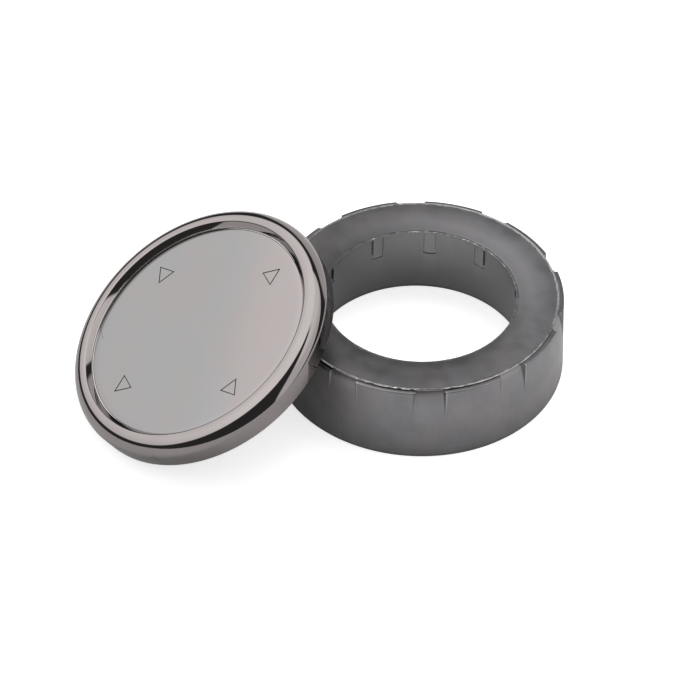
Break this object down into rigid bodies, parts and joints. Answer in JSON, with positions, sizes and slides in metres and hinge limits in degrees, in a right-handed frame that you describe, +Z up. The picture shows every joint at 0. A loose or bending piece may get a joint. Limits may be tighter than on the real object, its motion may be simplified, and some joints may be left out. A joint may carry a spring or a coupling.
{
  "type": "rotary knob trim set",
  "caption": "Polished round cap with a raised bead and engraved triangles, leaning on a plated grip ring with a ribbed bore.",
  "frame": {"origin": "on the grip ring's axis, in the plane that the ring and the cap's rim stand on", "axes": "+Z up along the ring's axis, -X towards the side that the cap leans on"},
  "size_m": [0.0836, 0.0607, 0.0282],
  "materials": {
    "plated_grey": "satin dark grey plating on moulded plastic",
    "black_chrome": "polished black chrome plating",
    "mirror_plate": "mirror-polished black chrome",
    "black_plastic": "fine matt",
    "tape": "thin adhesive film",
    "foam": "closed-cell foam",
    "liner": "waxed release paper"
  },
  "bodies": {
    "ring": {"grip_ring": "plated_grey"},
    "cap": {"bezel_ring": "black_chrome", "face_plate": "mirror_plate", "face_plate_tape": "tape", "cap_carrier": "black_plastic", "knob_pad": "foam", "release_liner": "liner"}
  },
  "joints": [
    {"name": "cap_lift", "type": "slide", "parent": "ring", "child": "cap", "axis": [0, 0, 1], "range_m": [0, 0.03]}
  ]
}
